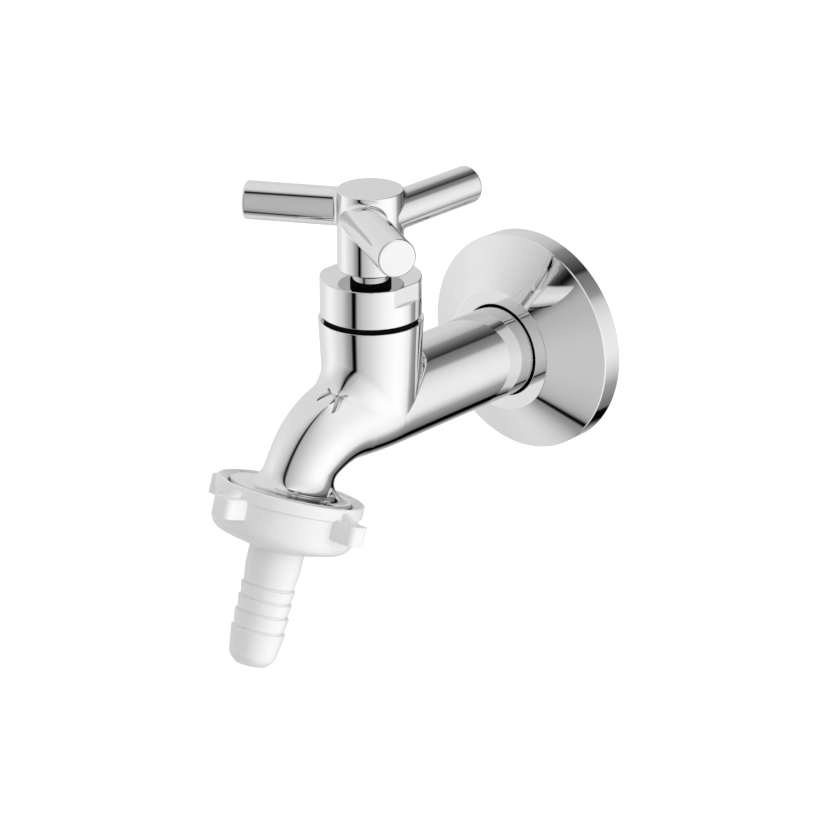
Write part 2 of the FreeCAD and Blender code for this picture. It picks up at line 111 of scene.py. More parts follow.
VALVE = Axis.tilted(0.0, 0.0, -VALVE_REACH, 0.0)
BARREL = Axis.tilted(math.radians(90), 0.0, 0.0, 0.0)
OUTLET = Axis.tilted(math.pi - OUTLET_TILT, 0.0, -OUTLET_REACH, -OUTLET_DROP)


@dataclass(frozen=True)
class Thread:
    """A pipe thread: the crest's radius outside or the root's inside, its depth and its pitch."""

    radius: float
    depth: float
    pitch: float


def unit(vector: np.ndarray) -> np.ndarray:
    """The vector or vectors at length one."""
    return vector / np.maximum(np.linalg.norm(vector, axis=-1, keepdims=True), 1e-12)


def smooth(share: np.ndarray) -> np.ndarray:
    """Turns an even rise from 0 to 1 into one with level ends."""
    return share * share * (3 - 2 * share)


def wall_strips(corners: Corners) -> list[tuple[End, End]]:
    """Turns a closed profile into strips, with an arc at each corner that has a radius.

    Args:
        corners: (radius, height) pairs, each with an optional corner radius.

    Returns:
        The two ends of each strip: radius, height, and the same two parts of the normal, which points
        out of the material.
    """
    flat = [(c[0], c[1]) for c in corners]
    if sum(a[0] * b[1] - b[0] * a[1] for a, b in zip(flat, flat[1:] + flat[:1])) < 0:
        corners = corners[::-1]
    count = len(corners)
    ends: list[tuple[np.ndarray, np.ndarray, list[tuple[np.ndarray, np.ndarray]]]] = []
    for i, corner in enumerate(corners):
        point = np.array(corner[:2], float)
        radius = corner[2] if len(corner) > 2 else 0.0
        if radius <= 0:
            ends.append((point, point, []))
            continue
        before = unit(np.array(corners[i - 1][:2], float) - point)
        after = unit(np.array(corners[(i + 1) % count][:2], float) - point)
        half = math.acos(float(np.clip(before @ after, -1, 1))) / 2
        start = point + before * radius / math.tan(half)
        end = point + after * radius / math.tan(half)
        centre = point + unit(before + after) * radius / math.sin(half)
        steps = max(2, math.ceil(math.degrees(math.pi - 2 * half) / ARC_STEP))
        first, last = start - centre, end - centre
        sweep = math.atan2(first[0] * last[1] - first[1] * last[0], float(first @ last))
        arc = []
        for k in range(steps + 1):
            angle = sweep * k / steps
            c, s = math.cos(angle), math.sin(angle)
            ray = np.array([c * first[0] - s * first[1], s * first[0] + c * first[1]])
            outward = unit(ray) * (1 if sweep > 0 else -1)
            arc.append((centre + ray, outward))
        ends.append((start, end, arc))
    strips = []
    for i in range(count):
        arc = ends[i][2]
        for (a, na), (b, nb) in zip(arc, arc[1:]):
            strips.append(((*a, *na), (*b, *nb)))
        a, b = ends[i][1], ends[(i + 1) % count][0]
        if np.linalg.norm(b - a) > TINY and not (a[0] < TINY and b[0] < TINY):
            d = unit(b - a)
            n = (d[1], -d[0])
            strips.append(((*a, *n), (*b, *n)))
    return strips


@dataclass
class Shell:
    """Points, faces and corner normals of one piece, gathered in millimetres."""

    points: list[np.ndarray] = field(default_factory=list)
    faces: list[tuple[int, ...]] = field(default_factory=list)
    normals: list[np.ndarray] = field(default_factory=list)
    size: int = 0

    def put(self, points: np.ndarray) -> int:
        """Adds points.

        Args:
            points: rows of x, y and z.

        Returns:
            The index of the first.
        """
        first = self.size
        self.points.append(points)
        self.size += len(points)
        return first

    def face(self, corners: list[int], normals: list[np.ndarray]) -> None:
        """Adds one face with a normal at each corner."""
        self.faces.append(tuple(corners))
        self.normals.extend(normals)

    def turned(self, axis: Axis, corners: Corners, segments: int = 160) -> None:
        """Adds a solid of revolution.

        Args:
            axis: what it turns about.
            corners: its closed profile.
            segments: how many facets go round it.
        """
        angles = np.arange(segments) * FULL_TURN / segments
        cos, sin = np.cos(angles), np.sin(angles)
        rings: dict[tuple[float, float], list[int]] = {}

        def ring(radius: float, height: float) -> list[int]:
            """Finds or adds a ring, which is a single point where it lies on the axis.

            Args:
                radius: its radius.
                height: where it is along the axis.

            Returns:
                Its point at each facet.
            """
            key = (round(radius, 5), round(height, 5))
            if key not in rings:
                n = 1 if radius < TINY else segments
                local = np.stack([cos[:n] * radius, sin[:n] * radius, np.full(n, height)], 1)
                first = self.put(axis.place(local))
                rings[key] = [first + j % n for j in range(segments)]
            return rings[key]

        for start, end in wall_strips(corners):
            low, high = ring(*start[:2]), ring(*end[:2])
            low_n, high_n = (
                axis.aim(np.stack([cos * side, sin * side, np.full(segments, up)], 1))
                for side, up in (start[2:], end[2:]))
            for j in range(segments):
                k = (j + 1) % segments
                loop = [(low[j], low_n[j]), (low[k], low_n[k]), (high[k], high_n[k]), (high[j], high_n[j])]
                if low[j] == low[k]:
                    del loop[1]
                elif high[j] == high[k]:
                    del loop[2]
                self.face([c for c, _ in loop], [n for _, n in loop])

    def grid(self, axis: Axis, points: np.ndarray, normals: np.ndarray, flip: bool = False) -> int:
        """Adds a wall of four-sided faces that closes on itself sideways; a face without width is left out.

        Args:
            axis: where it is made.
            points: rows of points, from low to high.
            normals: the normal at each point.
            flip: whether the rows run the other way round.

        Returns:
            The index of the first point.
        """
        count = points.shape[1]
        first = self.put(axis.place(points.reshape(-1, 3)))
        normals = axis.aim(unit(normals))
        width = np.linalg.norm(points - np.roll(points, -1, 1), axis=2)
        for i, j in np.argwhere(np.maximum(width[:-1], width[1:]) >= TINY).tolist():
            k = (j + 1) % count
            spots = [(i, j), (i, k), (i + 1, k), (i + 1, j)]
            if flip:
                spots.reverse()
            self.face([first + row * count + side for row, side in spots], [normals[s] for s in spots])
        return first

    def stack(self, axis: Axis, spots: np.ndarray, swell: np.ndarray, levels: list[End]) -> list[list[int]]:
        """Adds an upright wall that draws in or out as it rises.

        Args:
            axis: where it is made.
            spots: x, y and the normal's x and y, round the outline.
            swell: the way in which each spot moves out.
            levels: how far out, how high, and the normal's sideways and upward parts.

        Returns:
            The points round its low and its high end.
        """
        count = len(spots)
        points, normals = [], []
        for out, height, side, up in levels:
            points.append(np.column_stack([spots[:, :2] + swell * out, np.full(count, height)]))
            normals.append(np.column_stack([spots[:, 2:] * side, np.full(count, up)]))
        first = self.grid(axis, np.array(points), np.array(normals))
        loops = []
        for row in (0, len(levels) - 1):
            apart = np.linalg.norm(points[row] - np.roll(points[row], 1, 0), axis=1) > TINY
            loops.append([first + row * count + j for j in np.flatnonzero(apart).tolist()])
        return loops

    def prism(self, axis: Axis, outline: Corners, low: float, high: float, edge: float) -> None:
        """Adds an extruded convex outline with rounded corners and softened ends.

        Args:
            axis: where it is made.
            outline: closed (x, y) corners, each with an optional radius.
            low: where the extrusion starts.
            high: where it ends.
            edge: the rounding of both ends.
        """
        inward = -9.0
        section = [(inward, low), (0.0, low, edge), (0.0, high, edge), (inward, high)]
        levels: list[End] = []
        for level, _ in wall_strips(section):
            if abs(level[0]) > 2 * edge + 1e-9:
                continue
            if not levels or abs(level[0] - levels[-1][0]) + abs(level[1] - levels[-1][1]) > 1e-7:
                levels.append(level)
        spots = np.array([spot for strip in wall_strips(outline) for spot in strip])
        bottom, top = self.stack(axis, spots, spots[:, 2:], levels)
        self.face(bottom[::-1], [axis.aim(-UP)] * len(bottom))
        self.face(top, [axis.aim(UP)] * len(top))

    def threaded(self, axis: Axis, thread: Thread, low: float, high: float, outside: bool = True) -> None:
        """Adds a helical thread's wall, which runs out to the plain radius at both ends.

        Args:
            axis: what it winds about.
            thread: its radius, depth and pitch.
            low: where it starts.
            high: where it ends.
            outside: whether the material is inside the wall.
        """
        segments, rows_a_turn, crest, flank, run_out = 96, 14, 1.35, 3.4, 0.7
        rows = max(8, math.ceil((high - low) / thread.pitch * rows_a_turn))
        heights = np.linspace(low, high, rows + 1)[:, None]
        angles = (np.arange(segments) * FULL_TURN / segments)[None, :]
        phase = (heights / thread.pitch - angles / FULL_TURN) % 1.0
        groove = smooth(np.clip(crest - np.abs(phase - 0.5) * flank, 0, 1))
        ends = np.clip(np.minimum(heights - low, high - heights) / (run_out * thread.pitch), 0, 1)
        radii = thread.radius - thread.depth * (groove if outside else 1 - groove) * ends
        local = np.stack([np.cos(angles) * radii, np.sin(angles) * radii, heights + 0 * radii], 2)
        across = np.roll(local, -1, 1) - np.roll(local, 1, 1)
        along = np.gradient(local, axis=0)
        normals = np.cross(across, along) * (1 if outside else -1)
        self.grid(axis, local, normals, flip=not outside)

    def piece(self, name: str, body: Body, slot: Slot, palette: Palette, node: str) -> None:
        """Makes the object, puts it on its body and lets it stand for its solid.

        Args:
            name: the piece's name.
            body: what it rides on.
            slot: its finish in the record.
            palette: the materials.
            node: the solid that it stands for.
        """
        mesh = bpy.data.meshes.new(name)
        points = np.concatenate(self.points) * MM
        mesh.from_pydata([tuple(p) for p in points], [], self.faces)
        mesh.polygons.foreach_set("use_smooth", [True] * len(mesh.polygons))
        mesh.normals_split_custom_set([tuple(n) for n in self.normals])
        mesh.update()
        mesh.materials.append(palette[slot])
        made = bpy.data.objects.new(name, mesh)
        bpy.context.scene.collection.objects.link(made)
        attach(made, body.value)
        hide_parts(node)
        log.info("%s: %d points, %d faces, on %s", name, len(mesh.vertices), len(mesh.polygons), body.value)


def round_union(a: np.ndarray, b: np.ndarray, radius: np.ndarray | float) -> np.ndarray:
    """Joins two distance fields with a fillet.

    Args:
        a: the distances to the one.
        b: the distances to the other.
        radius: the fillet's radius, about.

    Returns:
        The distances to both.
    """
    fillet = np.hypot(np.maximum(radius - a, 0), np.maximum(radius - b, 0))
    return np.maximum(radius, np.minimum(a, b)) - fillet


def field_slope(shape: Field, points: np.ndarray) -> np.ndarray:
    """Works out a field's slope by central differences.

    Args:
        shape: the field.
        points: where it is wanted.

    Returns:
        The slope at each point.
    """
    step = 0.004
    slope = np.empty_like(points)
    for axis in range(3):
        nudge = np.zeros(3)
        nudge[axis] = step
        slope[:, axis] = (shape(points + nudge) - shape(points - nudge)) / (2 * step)
    return slope


def settle(shape: Field, points: np.ndarray, rounds: int) -> np.ndarray:
    """Moves points onto the surface where the field is nought.

    Args:
        shape: the field.
        points: points near its surface.
        rounds: how often they are moved.

    Returns:
        The moved points.
    """
    least = 0.05
    for _ in range(rounds):
        slope = field_slope(shape, points)
        points = points - shape(points)[:, None] * slope / np.maximum((slope**2).sum(1), least)[:, None]
    return points


def skin(shape: Field, low: Triple, high: Triple, cell: float) -> tuple[np.ndarray, np.ndarray]:
    """Wraps the surface of a field in four-sided faces.

    Args:
        shape: the field, negative inside the material.
        low: the lowest corner of the space looked at.
        high: its highest corner.
        cell: the size of a face.

    Returns:
        The points and the faces.
    """
    axes = [np.arange(a, b + cell, cell) for a, b in zip(low, high)]
    dims = [len(a) for a in axes]
    cells = [d - 1 for d in dims]
    values = np.empty(dims)
    for i, x in enumerate(axes[0]):
        plane = np.stack(np.meshgrid([x], axes[1], axes[2], indexing="ij"), -1).reshape(-1, 3)
        values[i] = shape(plane).reshape(dims[1:])
    total, hits = np.zeros((*cells, 3)), np.zeros(cells)
    base = np.stack(np.indices(cells), -1).astype(float)
    for a in np.ndindex(2, 2, 2):
        for axis in range(3):
            if a[axis]:
                continue
            b = list(a)
            b[axis] = 1
            va, vb = (values[tuple(slice(s, s + c) for s, c in zip(corner, cells))] for corner in (a, b))
            cut = (va < 0) != (vb < 0)
            spot = base + np.array(a, float)
            spot[..., axis] += np.where(cut, va / np.where(cut, va - vb, 1), 0)
            total += np.where(cut[..., None], spot, 0)
            hits += cut
    used = hits > 0
    number = np.full(cells, -1)
    number[used] = np.arange(int(used.sum()))
    points = total[used] / hits[used][:, None] * cell + np.array(low)
    inside = values < 0
    faces = []
    for axis, b, c in ((0, 1, 2), (1, 2, 0), (2, 0, 1)):
        span = [slice(1, d - 1) for d in dims]
        span[axis] = slice(0, dims[axis] - 1)
        here, starts = inside[tuple(span)], [s.start for s in span]
        span[axis] = slice(1, dims[axis])
        change = here != inside[tuple(span)]
        spots = np.argwhere(change) + np.array(starts)
        ring = []
        for db, dc in ((-1, -1), (0, -1), (0, 0), (-1, 0)):
            spot = spots.copy()
            spot[:, b] += db
            spot[:, c] += dc
            ring.append(number[tuple(spot.T)])
        quads = np.stack(ring, 1)
        faces.append(np.where(here[change][:, None], quads, quads[:, ::-1]))
    return points, np.concatenate(faces)


def even_out(shape: Field, points: np.ndarray, faces: np.ndarray, rounds: int) -> np.ndarray:
    """Slides points along the surface until they are evenly spread.

    Args:
        shape: the field that the surface belongs to.
        points: the surface's points.
        faces: its faces.
        rounds: how often the points slide.

    Returns:
        The moved points.
    """
    share = 0.6
    pairs = np.concatenate([faces[:, [0, 1]], faces[:, [1, 2]], faces[:, [2, 3]], faces[:, [3, 0]]])
    count = np.bincount(pairs.ravel(), minlength=len(points)).astype(float)
    for _ in range(rounds):
        mean = np.zeros_like(points)
        for axis in range(3):
            mean[:, axis] += np.bincount(pairs[:, 0], points[pairs[:, 1], axis], len(points))
            mean[:, axis] += np.bincount(pairs[:, 1], points[pairs[:, 0], axis], len(points))
        mean /= count[:, None]
        points = settle(shape, points + share * (mean - points), 1)
    return settle(shape, points, 2)


def trim(points: np.ndarray, faces: np.ndarray, cuts: list[tuple[Triple, Triple]]) -> bpy.types.Mesh:
    """Cuts a skin with planes.

    Args:
        points: its points.
        faces: its faces.
        cuts: for each plane a point on it and the way to what is thrown away.

    Returns:
        The cut mesh, in millimetres.
    """
    mesh = bpy.data.meshes.new("trimmed")
    mesh.from_pydata(points.tolist(), [], faces.tolist())
    work = bmesh.new()
    work.from_mesh(mesh)
    for spot, away in cuts:
        everything = work.verts[:] + work.edges[:] + work.faces[:]
        bmesh.ops.bisect_plane(
            work, geom=everything, dist=1e-4, plane_co=spot, plane_no=away, clear_outer=True)
    work.to_mesh(mesh)
    work.free()
    return mesh


@dataclass
class CastBody:
    """The chromed casting: barrel, valve chamber, spout and outlet disc, in millimetres."""

    barrel_r: float = 12.86
    chamber_top_r: float = 14.35
    chamber_root_r: float = 12.95
    chamber_top_z: float = 25.6
    rim_round: float = 0.25
    seam_z: float = 25.0
    seam_y: float = -18.0
    bend_r: float = 23.0
    start_r: float = 11.85
    neck_r: float = 9.3
    neck_shift: float = 0.6
    saddle_r: float = 4.9
    saddle_from: float = 3.0
    saddle_over: float = 13.0
    crease_r: float = 0.45
    high_crease_r: float = 3.6
    crease_over: float = 10.0
    sag: float = 0.8
    flare_r: float = 4.4
    inner_flare_r: float = 7.2
    flare_over: float = 22.0
    disc_r: float = 16.71
    disc_thick: float = 1.1
    disc_shown: float = 0.012
    disc_hidden: float = 0.9
    disc_lap: float = 1.2
    inner_r: float = 11.2
    mouth_r: float = 10.48
    mouth_z: float = 13.2
    well_r: float = 9.3
    well_z: float = 3.2
    seat_rim_r: float = 7.0
    seat_r: float = 5.5
    seat_z: float = 5.0
    inlet_core_r: float = 12.0
    inlet_bore_r: float = 9.0
    inlet_end: float = -14.0
    spigot_core_r: float = 15.1
    spigot_bore_r: float = 8.0
    spigot_end: float = 8.5
    inlet_thread: Thread = Thread(13.2, 1.16, 1.814)
    outlet_thread: Thread = Thread(16.6, 1.45, 2.309)
    cell: float = 0.42

    def __post_init__(self) -> None:
        """Works out the chamber's slope, the spout's centre line and its radius along it."""
        self.slope = (self.chamber_top_r - self.chamber_root_r) / self.chamber_top_z
        self.full = math.pi / 2 - OUTLET_TILT
        corner = -OUTLET_REACH + OUTLET_DROP * math.tan(OUTLET_TILT)
        self.bend_y = corner + self.bend_r * math.tan(self.full / 2)
        length = self.full * self.bend_r
        step, spread_width = 0.1, 2.6
        self.along = np.arange(-60.0, 60.0, step)
        radius = np.interp(
            self.along, [-9.0, 0.0, 0.6 * length, 0.75 * length],
            [self.barrel_r, self.start_r, self.neck_r + 0.8, self.neck_r])
        sag = np.interp(
            self.along, [-9.0, 2.0, 0.35 * length, 0.6 * length, 0.74 * length, length],
            [0.0, 0.62, self.sag, self.sag, 0.62, self.neck_shift])
        spread = np.exp(-(np.arange(-9.0, 9.05, step) ** 2) / (2 * spread_width**2))
        spread /= spread.sum()
        pad = len(spread) // 2
        self.radius = np.convolve(np.pad(radius, pad, "edge"), spread, "valid")
        self.offset = np.convolve(np.pad(sag, pad, "edge"), spread, "valid")

    def tube(self, p: np.ndarray) -> tuple[np.ndarray, np.ndarray]:
        """The barrel and spout as one bent tube.

        Args:
            p: points in millimetres.

        Returns:
            The distance to the tube's skin and its outward direction.
        """
        x, y, z = p[:, 0], p[:, 1], p[:, 2]
        dy, dz = y - self.bend_y, z + self.bend_r
        angle = np.arctan2(-dy, dz)
        turned = np.clip(angle, 0, self.full)
        out_y, out_z = -np.sin(turned), np.cos(turned)
        beside = dy * out_y + dz * out_z - self.bend_r
        ahead = dy * -out_z + dz * out_y
        along = turned * self.bend_r + np.where(angle <= 0, -dy, np.where(angle >= self.full, ahead, 0))
        beside = beside + np.interp(along, self.along, self.offset)
        reach = np.sqrt(x**2 + beside**2 + 1e-9)
        normal = np.stack([x, beside * out_y, beside * out_z], 1) / reach[:, None]
        return reach - np.interp(along, self.along, self.radius), normal

    def chamber(self, p: np.ndarray) -> tuple[np.ndarray, np.ndarray]:
        """The valve chamber as a slightly flared post with a domed foot inside the tube.

        Args:
            p: points in millimetres.

        Returns:
            The distance to its skin and its outward direction.
        """
        x, y = p[:, 0], p[:, 1] + VALVE_REACH
        drop = np.minimum(p[:, 2], 0)
        reach = np.sqrt(x**2 + y**2 + drop**2 + 1e-9)
        waist, waist_z = 0.15, 8
        radius = self.chamber_root_r - waist + self.slope * np.maximum(p[:, 2], 0)
        radius = radius + waist * np.clip(p[:, 2] / waist_z, 0, 1)
        normal = np.stack([x, y, drop], 1) / reach[:, None]
        return reach - radius, normal

    def outlet(self, p: np.ndarray) -> tuple[np.ndarray, np.ndarray]:
        """Measures from the outlet's axis.

        Args:
            p: points in millimetres.

        Returns:
            How far down the axis and how far from it each point lies.
        """
        axis = np.array([0, -math.sin(OUTLET_TILT), -math.cos(OUTLET_TILT)])
        from_disc = p - np.array([0, -OUTLET_REACH, -OUTLET_DROP])
        down = from_disc @ axis
        return down, np.linalg.norm(from_disc - down[:, None] * axis, axis=1)

    def shape(self, p: np.ndarray) -> np.ndarray:
        """The whole outside as one field.

        The crease beside the chamber is sharp low down and rounder higher up, and a saddle lies in front.

        Args:
            p: points in millimetres.

        Returns:
            The distance to the skin, negative in the metal.
        """
        tube, tube_n = self.tube(p)
        chamber, chamber_n = self.chamber(p)
        full_fillet_at = 0.75
        square = np.clip((1 - (tube_n * chamber_n).sum(1)) / full_fillet_at, 0, 1)
        front = smooth(np.clip((-VALVE_REACH + self.saddle_from - p[:, 1]) / self.saddle_over, 0, 1))
        rise = np.clip(p[:, 2] / self.crease_over, 0, 1) ** 2
        crease = self.crease_r + (self.high_crease_r - self.crease_r) * rise
        fillet = (crease + (self.saddle_r - crease) * front) * square
        down, out = self.outlet(p)
        body = round_union(tube, chamber, fillet + 1e-3)
        body = np.maximum(body, down - self.disc_hidden)
        slab = np.maximum(self.disc_shown - down, down - self.disc_hidden)
        slab = np.maximum(slab, out - self.disc_r + self.disc_lap)
        inner = smooth(np.clip(0.5 + (p[:, 1] + OUTLET_REACH) / self.flare_over, 0, 1))
        return round_union(body, slab, self.flare_r + (self.inner_flare_r - self.flare_r) * inner)

    def build(self, palette: Palette) -> None:
        """Makes the casting with its threads and bores.

        Args:
            palette: the materials.
        """
        low = (-17.0, -116.5, -24.5)
        high = (17.0, self.seam_y + 1.5, self.seam_z + 1.5)
        points, faces = skin(self.shape, low, high, self.cell)
        points = even_out(self.shape, points, faces, 6)
        cuts = [((0, self.seam_y, 0), (0, 1, 0)), ((0, 0, self.seam_z), (0, 0, 1))]
        mesh = trim(points, faces, cuts)
        flat = np.array([v.co[:] for v in mesh.vertices])
        normals = unit(field_slope(self.shape, flat))
        shell = Shell()
        shell.put(flat)
        for polygon in mesh.polygons:
            corners = list(polygon.vertices)
            shell.face(corners, [normals[c] for c in corners])
        self.rim(shell)
        self.inlet(shell)
        self.spigot(shell)
        shell.piece("casting", Body.BODY, Slot.CHROME, palette, "tap_body")

    def rim(self, shell: Shell) -> None:
        """Adds the chamber's top edge and its bore, down to the seat.

        Args:
            shell: what they are added to.
        """
        seam_r = self.chamber_root_r + self.slope * self.seam_z
        shell.turned(VALVE, [
            (seam_r, self.seam_z), (self.chamber_top_r, self.chamber_top_z, self.rim_round),
            (self.mouth_r, self.chamber_top_z), (self.mouth_r, self.mouth_z), (self.well_r, self.mouth_z),
            (self.well_r, self.well_z), (self.seat_rim_r, self.well_z), (self.seat_rim_r, self.seat_z),
            (self.seat_r, self.seat_z), (self.seat_r, 1.0), (self.inner_r, 1.0), (self.inner_r, self.seam_z)])

    def inlet(self, shell: Shell) -> None:
        """Adds the barrel's end with its pipe thread and bore.

        Args:
            shell: what they are added to.
        """
        seam = -self.seam_y
        bore_end, tip, back = 47.0, 50.0, 51.5
        shell.turned(BARREL, [
            (self.barrel_r, seam), (self.barrel_r, 4.0, 0.3), (self.inlet_core_r, 3.2),
            (self.inlet_core_r, self.inlet_end + 1.1), (self.inlet_core_r - 0.7, self.inlet_end),
            (self.inlet_bore_r, self.inlet_end, 0.3), (self.inlet_bore_r, bore_end), (0, tip), (0, back),
            (self.inner_r, back), (self.inner_r, seam)])
        shell.threaded(BARREL, self.inlet_thread, self.inlet_end + 0.6, 3.6)

    def spigot(self, shell: Shell) -> None:
        """Adds the outlet's disc, its thread and its bore.

        Args:
            shell: what they are added to.
        """
        shell.turned(OUTLET, [
            (0, 0.3), (10.0, 0.3), (10.0, 0.0), (self.disc_r, 0.0, 0.22), (self.disc_r, self.disc_thick, 0.1),
            (self.spigot_core_r, self.disc_thick), (self.spigot_core_r, self.spigot_end - 0.5),
            (self.spigot_core_r - 0.5, self.spigot_end), (self.spigot_bore_r, self.spigot_end, 0.3),
            (self.spigot_bore_r, 1.6), (0, 1.6)])
        shell.threaded(OUTLET, self.outlet_thread, self.disc_thick + 0.1, self.spigot_end - 0.2)


@dataclass
class WallFlange:
    """The conical cover plate, in millimetres from the wall outward."""

    rim_r: float = 31.5
    rim: float = 6.2
    depth: float = 15.2
    nose_r: float = 17.6
    bore_r: float = 13.36
    groove_r: float = 14.78
    groove_low: float = 11.1
    groove_high: float = 13.0
    collar_r: float = 16.56
    collar_low: float = 7.0
    hollow_r: float = 29.9
    edge: float = 0.55

    def build(self, palette: Palette) -> None:
        """Makes the plate.

        Args:
            palette: the materials.
        """
        shell = Shell()
        shell.turned(BARREL, [
            (self.rim_r, 0, 0.15), (self.rim_r, self.rim, self.edge), (self.nose_r, self.depth, 0.5),
            (self.bore_r, self.depth, 0.35), (self.bore_r, self.groove_high),
            (self.groove_r, self.groove_high), (self.groove_r, self.groove_low),
            (self.bore_r, self.groove_low), (self.bore_r, self.collar_low, 0.3),
            (self.collar_r, self.collar_low, 0.3), (self.collar_r, 13.6, 0.5), (self.hollow_r, 5.25, 0.8),
            (self.hollow_r, 0.0, 0.15)], segments=256)
        shell.piece("cover_plate", Body.FLANGE, Slot.CHROME, palette, "wall_flange")


@dataclass
class Bonnet:
    """The shroud over the headwork, with two flats for a spanner."""

    radius: float = 13.8
    low: float = 26.89
    ledge: float = 32.51
    high: float = 37.51
    half_flats: float = 12.95
    inner_r: float = 12.4
    ceiling: float = 35.3
    hole_r: float = 5.01
    edge: float = 0.3
    gasket_r: float = 13.05
    gasket_low: float = 25.6

    def build(self, palette: Palette) -> None:
        """Makes the lower round wall, the upper wall with its flats, the inside, and the gasket under it.

        Args:
            palette: the materials.
        """
        shell = Shell()
        self.upper_wall(shell)
        rim, lap = self.hole_r + self.edge, self.ledge - 0.2
        shell.turned(VALVE, [
            (12.0, self.low), (self.radius, self.low, 0.25), (self.radius, self.ledge),
            (self.inner_r, self.ledge), (self.inner_r, self.ceiling), (self.hole_r, self.ceiling),
            (self.hole_r, self.high), (rim, self.high), (rim, 37.3), (12.6, 37.3), (12.6, lap), (12.2, lap),
            (12.0, 31.3)])
        shell.piece("bonnet_shroud", Body.BODY, Slot.CHROME, palette, "bonnet")
        gasket = Shell()
        top = self.low - 0.02
        gasket.turned(VALVE, [
            (10.5, self.gasket_low), (self.gasket_r, self.gasket_low, 0.1), (self.gasket_r - 0.8, top),
            (10.5, top)])
        gasket.piece("gasket_black", Body.BODY, Slot.RUBBER, palette, "headwork_gasket")

    def upper_wall(self, shell: Shell) -> None:
        """Adds the wall above the ledge, round but for its two flats, and the level top around the hole.

        Args:
            shell: what they are added to.
        """
        start = math.atan2(math.sqrt(self.radius**2 - self.half_flats**2), self.half_flats)
        steps, edge_steps = 72, 6
        sides = []
        for turn in (0.0, math.pi):
            angles = turn + start + (math.pi - 2 * start) * np.arange(steps + 1) / steps
            arc = np.stack([np.cos(angles), np.sin(angles)], 1)
            flat = np.array([[math.cos(turn), 0.0]])
            rims = np.vstack([arc[:1], arc, arc[-1:]]) * self.radius
            sides.append(np.hstack([rims, np.vstack([flat, arc, -flat])]))
        spots = np.concatenate(sides)
        levels = [(0.0, self.ledge, 1.0, 0.0)]
        for k in range(edge_steps + 1):
            angle = math.pi / 2 * k / edge_steps
            side, up = math.cos(angle), math.sin(angle)
            levels.append((self.edge * (side - 1), self.high + self.edge * (up - 1), side, up))
        rim = shell.stack(VALVE, spots, spots[:, :2] / self.radius, levels)[1]
        count = len(rim)
        angles = np.arange(count) * FULL_TURN / count + start
        circle = np.stack([np.cos(angles), np.sin(angles)], 1) * (self.hole_r + self.edge)
        hole = shell.put(VALVE.place(np.column_stack([circle, np.full(count, self.high)])))
        for j in range(count):
            k = (j + 1) % count
            shell.face([rim[j], rim[k], hole + k, hole + j], [UP] * 4)


@dataclass
class Handle:
    """The hub with its three round bars, each set to one side of the axis."""

    hub_r: float = 9.0
    hub_low: float = 39.88
    hub_high: float = 62.05
    boss_r: float = 5.0
    boss_low: float = 35.6
    ring_r: float = 5.6
    ring_low: float = 38.45
    edge: float = 0.35
    bar_r: float = 5.27
    bar_reach: float = 35.32
    bar_root: float = 1.5
    bar_aside: float = 3.68
    bar_z: float = 55.1
    bar_edge: float = 0.75
    root_round: float = 1.3
    bars: tuple[tuple[str, float], ...] = (("front_right", 60), ("rear", 180), ("front_left", 300))

    def build(self, palette: Palette) -> None:
        """Makes the hub, the black ring under it, which is painted shade for the gap below the hub, and the
        bars.

        Args:
            palette: the materials.
        """
        hub = Shell()
        hub.turned(VALVE, [
            (0, self.hub_low - 1.0), (3.3, self.boss_low), (self.boss_r, self.boss_low, 0.3),
            (self.boss_r, self.hub_low), (self.hub_r, self.hub_low, self.edge),
            (self.hub_r, self.hub_high, self.edge), (0, self.hub_high)], segments=192)
        hub.piece("hub", Body.HANDLE, Slot.CHROME, palette, "handle_hub")
        # Painted shade: a black ring in the gap under the hub stands in for the shade there, which the
        # bonnet's polished top mirrors.
        gap_shade_ring = Shell()
        gap_shade_ring.turned(VALVE, [
            (self.boss_r, self.ring_low), (self.ring_r, self.ring_low, 0.15), (self.ring_r, self.hub_low),
            (self.boss_r, self.hub_low)])
        gap_shade_ring.piece("gap_shade_ring_black", Body.HANDLE, Slot.RUBBER, palette, "dust_ring")
        for name, degrees in self.bars:
            angle = math.radians(degrees)
            out = np.array([math.sin(angle), -math.cos(angle), 0])
            aside = np.array([-math.cos(angle), -math.sin(angle), 0])
            foot = np.array([0, -VALVE_REACH, self.bar_z]) + aside * self.bar_aside
            axis = Axis(np.stack([np.cross(UP, out), UP, out], 1), foot)
            bar = Shell()
            bar.turned(axis, [
                (0, self.bar_root), (self.bar_r, self.bar_root), (self.bar_r, self.bar_reach, self.bar_edge),
                (0, self.bar_reach)])
            self.root_fillet(bar, axis)
            bar.piece("bar_" + name, Body.HANDLE, Slot.CHROME, palette, "spoke_" + name)

    def root_fillet(self, shell: Shell, axis: Axis) -> None:
        """Adds the hollow rounding where a bar meets the hub, as a ball rolled round its root leaves it.

        Args:
            shell: the bar that it is added to.
            axis: the bar's axis.
        """
        around, across = 144, 10
        side = self.bar_aside * (1 if axis.turn[:, 0] @ (axis.shift - VALVE.shift) > 0 else -1)
        angles = FULL_TURN * np.arange(around) / around
        from_bar = np.stack([np.cos(angles), np.sin(angles), 0 * angles], 1)
        centre = from_bar * (self.bar_r + self.root_round)
        beside = side + centre[:, 0]
        centre[:, 2] = np.sqrt((self.hub_r + self.root_round) ** 2 - beside**2)
        to_hub = unit(np.stack([-beside, 0 * beside, -centre[:, 2]], 1))
        share = (np.arange(across + 1) / across)[:, None, None]
        rays = unit(to_hub * share - from_bar * (1 - share))
        shell.grid(axis, centre + rays * self.root_round, -rays, flip=True)


